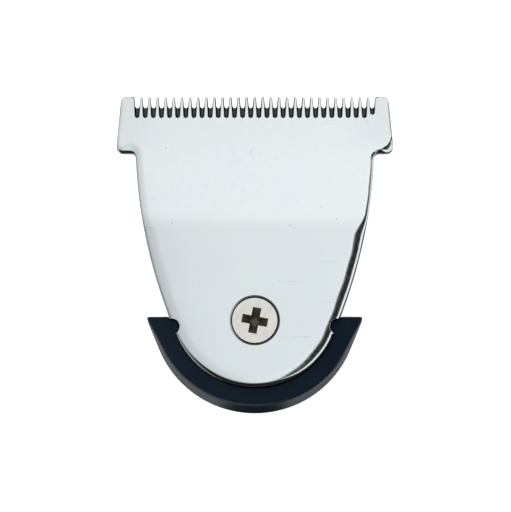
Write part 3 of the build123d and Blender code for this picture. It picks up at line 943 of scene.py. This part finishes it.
def face_tone(tree, place, tips_y):
    """Tone of the face, a little darker along the comb, at both ends of the head and low on the left."""
    x, y, _ = split(tree, place)
    comb = below_tips(tree, y, tips_y, COMB_CHANGE, 0.0, 1.0 - COMB_TONE)
    out = span(tree, calc(tree, "ABSOLUTE", x), *END_ACROSS, 0.0, 1.0 - END_TONE)
    ends = calc(tree, "MULTIPLY", out, below_tips(tree, y, tips_y, END_CHANGE))
    left = span(tree, x, *LOW_ACROSS, 1.0 - LEFT_TONE, 0.0)
    low = calc(tree, "MULTIPLY", left, below_tips(tree, y, tips_y, LOW_CHANGE))
    return calc(tree, "SUBTRACT", calc(tree, "SUBTRACT", calc(tree, "SUBTRACT", 1.0, comb), ends), low)


def sink_tone(tree, x, radius):
    """Tone of the countersink as painted light and shade: grey at its outer edge on the left, dark on the
    right and beside the screw.
    """
    outer = span(tree, x, *SINK_ACROSS, SINK_LIGHT_LEFT, SINK_LIGHT_RIGHT)
    return calc(tree, "MULTIPLY", outer, span(tree, radius, *SINK_INNER, SINK_SHADE, 1.0))


def nickel_plate(middle_y):
    """Bright plating with faint clouding, specks and a few long scratches; its dull stamped sides carry
    painted shade and reflection, and its countersink painted light and shade.
    """
    material, tree, shader = new_material("nickel_plate", NICKEL, metallic=1.0, roughness=0.15)
    place = millimetres(tree)
    tips_y = middle_y + TIP_Y
    face = mixed(tree, noise_span(tree, noise(tree, place, scale=0.16)), NICKEL, NICKEL_COOL)
    face = mixed(tree, specks(tree, place), face, SPECK)
    face = mixed(tree, scratches(tree, place), face, SPECK)
    steep, tone = steep_sides(tree, place, tips_y)
    radius = from_axis(tree, place, middle_y)
    sink = span(tree, radius, *SINK_RIM, 1.0, 0.0)
    # dull finish and painted shade share this mask: rougher, and darkened by the painted side tone
    dull_and_shaded = calc(tree, "MAXIMUM", steep, sink)
    # painted light and shade in the countersink
    tone = blended(tree, sink, tone, sink_tone(tree, split(tree, place)[0], radius))
    shade = blended(tree, dull_and_shaded, face_tone(tree, place, tips_y), tone)
    grey = add(tree, "ShaderNodeCombineColor", {0: shade, 1: shade, 2: shade}).outputs[0]
    colour = mixed(tree, 1.0, face, grey, "MULTIPLY")
    metallic = span(tree, sink, 0.0, 1.0, 1.0, SINK_METAL)
    rough = noise_span(tree, noise(tree, place, scale=2.4, detail=4.0), *NICKEL_ROUGH)
    rough = calc(tree, "ADD", rough, calc(tree, "MULTIPLY", dull_and_shaded, DULL_ROUGH))
    feed(tree, shader, Base_Color=colour, Metallic=metallic, Roughness=rough)
    bump(tree, shader, noise(tree, place, scale=1.3, detail=3.0), strength=0.12, distance=0.02)
    return material


def cutter_steel(root_y):
    """Dark ground steel with fine lines across the teeth, and painted shade that darkens it round the comb's
    gaps.
    """
    material, tree, shader = new_material("cutter_steel", CUTTER, metallic=1.0, roughness=0.35)
    place = millimetres(tree)
    x, y, _ = split(tree, place)
    lines = noise(tree, stretched(tree, place, CUTTER_GRAIN), scale=1.0, detail=3.0)
    share = calc(tree, "FRACT", calc(tree, "DIVIDE", x, PITCH))
    aside = calc(tree, "ABSOLUTE", calc(tree, "SUBTRACT", share, 0.5))
    at_root = span(tree, y, root_y + SHADE_ROOT[0], root_y + SHADE_ROOT[1])
    # painted shade: darker away from each gap's middle and near the roots, where the fixed comb shades the
    # cutter
    gap_shade = calc(tree, "MAXIMUM", span(tree, aside, *SHADE_ASIDE), at_root)
    colour = mixed(tree, gap_shade, mixed(tree, lines, CUTTER, CUTTER_PALE), CUTTER_SHADED)
    feed(tree, shader, Base_Color=colour, Roughness=span(tree, lines, 0.2, 0.8, *CUTTER_ROUGH))
    bump(tree, shader, lines, strength=0.4, distance=0.01)
    return material


def carrier_plastic():
    """Blue-black moulded plastic, half gloss in front and duller on its sides, with a fine grain, painted
    light that pales it to the left and a painted highlight along its chamfered edge.
    """
    material, tree, shader = new_material("carrier_plastic", CARRIER, metallic=0.0, roughness=0.4)
    shader.inputs["Specular IOR Level"].default_value = CARRIER_GLOSS
    place = millimetres(tree)
    # painted light: paler toward the left, where the light falls
    painted_left_light = span(tree, split(tree, place)[0], -LIGHT_FALL_HALF, LIGHT_FALL_HALF, LIGHT_FALL_SHIFT, -LIGHT_FALL_SHIFT)
    cloud = calc(tree, "ADD", noise(tree, place, scale=0.25, detail=3.0), painted_left_light)
    face = mixed(tree, calc(tree, "MAXIMUM", cloud, 0.0, clamp=True), CARRIER, CARRIER_PALE)
    level = split(tree, add(tree, "ShaderNodeTexCoord").outputs["Normal"])[2]
    # painted highlight: a paler line along the chamfered edge
    from_highlight = calc(tree, "ABSOLUTE", calc(tree, "SUBTRACT", level, HIGHLIGHT_LEVEL))
    colour = mixed(tree, span(tree, from_highlight, *HIGHLIGHT_BLUR), face, CARRIER_HIGHLIGHT)
    grain = noise(tree, place, scale=7.0, detail=4.0)
    rough = span(tree, calc(tree, "ABSOLUTE", level), 0.3, 0.8, *CARRIER_ROUGH)
    rough = calc(tree, "ADD", rough, noise_span(tree, grain, *CARRIER_GRAIN))
    feed(tree, shader, Base_Color=colour, Roughness=rough)
    bump(tree, shader, grain, strength=0.25, distance=0.012)
    return material


def screw_steel(middle_y, top_z):
    """Bright screw with faint turned rings, a little dulling, and painted shade in its recess and under its
    head.
    """
    material, tree, shader = new_material("screw_steel", SCREW, metallic=1.0, roughness=0.25)
    place = millimetres(tree)
    radius = from_axis(tree, place, middle_y)
    rings = add(tree, "ShaderNodeTexNoise", {"W": radius, "Scale": 9.0}, noise_dimensions="1D").outputs[0]
    cloud = noise(tree, place, scale=1.6, detail=4.0)
    face = mixed(tree, span(tree, cloud, 0.35, 0.75, 0.0, 0.5), SCREW, SCREW_DULL)
    # painted shade: below the head's top it turns darker and less metallic, darkest round the head's rim in
    # the countersink gap
    depth = calc(tree, "SUBTRACT", top_z, split(tree, place)[2])
    painted_shade = span(tree, depth, *SHADE_DEPTH)
    shade_colour = mixed(tree, span(tree, radius, *SHADOW_RADIUS), RECESS_SHADE, HEAD_GAP_SHADOW)
    metallic = calc(tree, "SUBTRACT", 1.0, painted_shade)
    rough = noise_span(tree, cloud, *SCREW_ROUGH)
    feed(tree, shader, Base_Color=mixed(tree, painted_shade, face, shade_colour), Metallic=metallic, Roughness=rough)
    bump(tree, shader, rings, strength=0.2, distance=0.006)
    return material


def acetal():
    """Milky moulded acetal with a soft sheen and slight unevenness."""
    material, tree, shader = new_material("acetal", ACETAL, metallic=0.0, roughness=0.42)
    place = millimetres(tree)
    cloud = noise(tree, place, scale=0.5, detail=3.0)
    grain = noise(tree, place, scale=5.0, detail=4.0)
    colour = mixed(tree, cloud, ACETAL, ACETAL_WARM)
    feed(tree, shader, Base_Color=colour, Roughness=noise_span(tree, grain, *ACETAL_ROUGH))
    bump(tree, shader, grain, strength=0.2, distance=0.012)
    return material


def spring_steel():
    """Drawn wire with fine die lines and a little dulling."""
    material, tree, shader = new_material("spring_steel", WIRE, metallic=1.0, roughness=0.3)
    lines = noise(tree, stretched(tree, millimetres(tree), WIRE_GRAIN), scale=1.0, detail=3.0)
    colour = mixed(tree, lines, WIRE, WIRE_DULL)
    feed(tree, shader, Base_Color=colour, Roughness=span(tree, lines, 0.25, 0.75, *WIRE_ROUGH))
    bump(tree, shader, lines, strength=0.3, distance=0.008)
    return material


def smoothing():
    """Node group that joins a solid's faces along their borders and shades them smooth up to an angle."""
    tree = bpy.data.node_groups.new("smooth_faces", "GeometryNodeTree")
    tree.interface.new_socket("Geometry", in_out="INPUT", socket_type="NodeSocketGeometry")
    tree.interface.new_socket("Geometry", in_out="OUTPUT", socket_type="NodeSocketGeometry")
    given = add(tree, "NodeGroupInput").outputs[0]
    merged = add(tree, "GeometryNodeMergeByDistance", {"Geometry": given, "Distance": MERGE_GAP}).outputs[0]
    soft = add(tree, "GeometryNodeSetShadeSmooth", {"Geometry": merged, "Shade Smooth": True}).outputs[0]
    angle = add(tree, "GeometryNodeInputMeshEdgeAngle").outputs[0]
    sharp = add(tree, "FunctionNodeCompare", {0: angle, 1: SHARP_ANGLE}, operation="GREATER_THAN").outputs[0]
    edges = {"Geometry": soft, "Selection": sharp, "Shade Smooth": False}
    edged = add(tree, "GeometryNodeSetShadeSmooth", edges, domain="EDGE").outputs[0]
    add(tree, "NodeGroupOutput", {"Geometry": edged})
    return tree


def dress(node, material, group):
    """Gives a solid its material and smooth shading."""
    node.data.materials.clear()
    node.data.materials.append(material)
    node.modifiers.new("smooth_faces", "NODES").node_group = group
    weighted = node.modifiers.new("weighted", "WEIGHTED_NORMAL")
    weighted.keep_sharp = True


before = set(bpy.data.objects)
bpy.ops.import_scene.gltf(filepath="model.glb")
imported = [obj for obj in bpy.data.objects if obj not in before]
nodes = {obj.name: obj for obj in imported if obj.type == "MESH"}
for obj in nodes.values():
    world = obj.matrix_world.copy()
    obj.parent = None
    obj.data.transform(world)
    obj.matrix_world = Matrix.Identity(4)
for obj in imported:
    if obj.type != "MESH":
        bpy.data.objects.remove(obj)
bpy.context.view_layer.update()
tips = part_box("fixed_blade")[1]
screw_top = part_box("carrier_screw")[1]
axis_y = tips[1] / MM - TIP_Y

plate = build_plate(np.array([0.0, axis_y, 0.0]))
plate.data.materials.append(nickel_plate(axis_y))
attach(plate, "holder")
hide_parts("fixed_blade")

group = smoothing()
dress(nodes["moving_blade"], cutter_steel(axis_y + TIP_Y - GAP_DEPTH), group)
dress(nodes["cutter_driver"], acetal(), group)
dress(nodes["tension_spring"], spring_steel(), group)
dress(nodes["blade_carrier"], carrier_plastic(), group)
dress(nodes["carrier_screw"], screw_steel(axis_y, screw_top[2] / MM), group)

build_world()
build_floor(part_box("blade_carrier")[0][1] / MM)
build_lamp()
build_camera()
bpy.context.scene.view_settings.view_transform = "Standard"
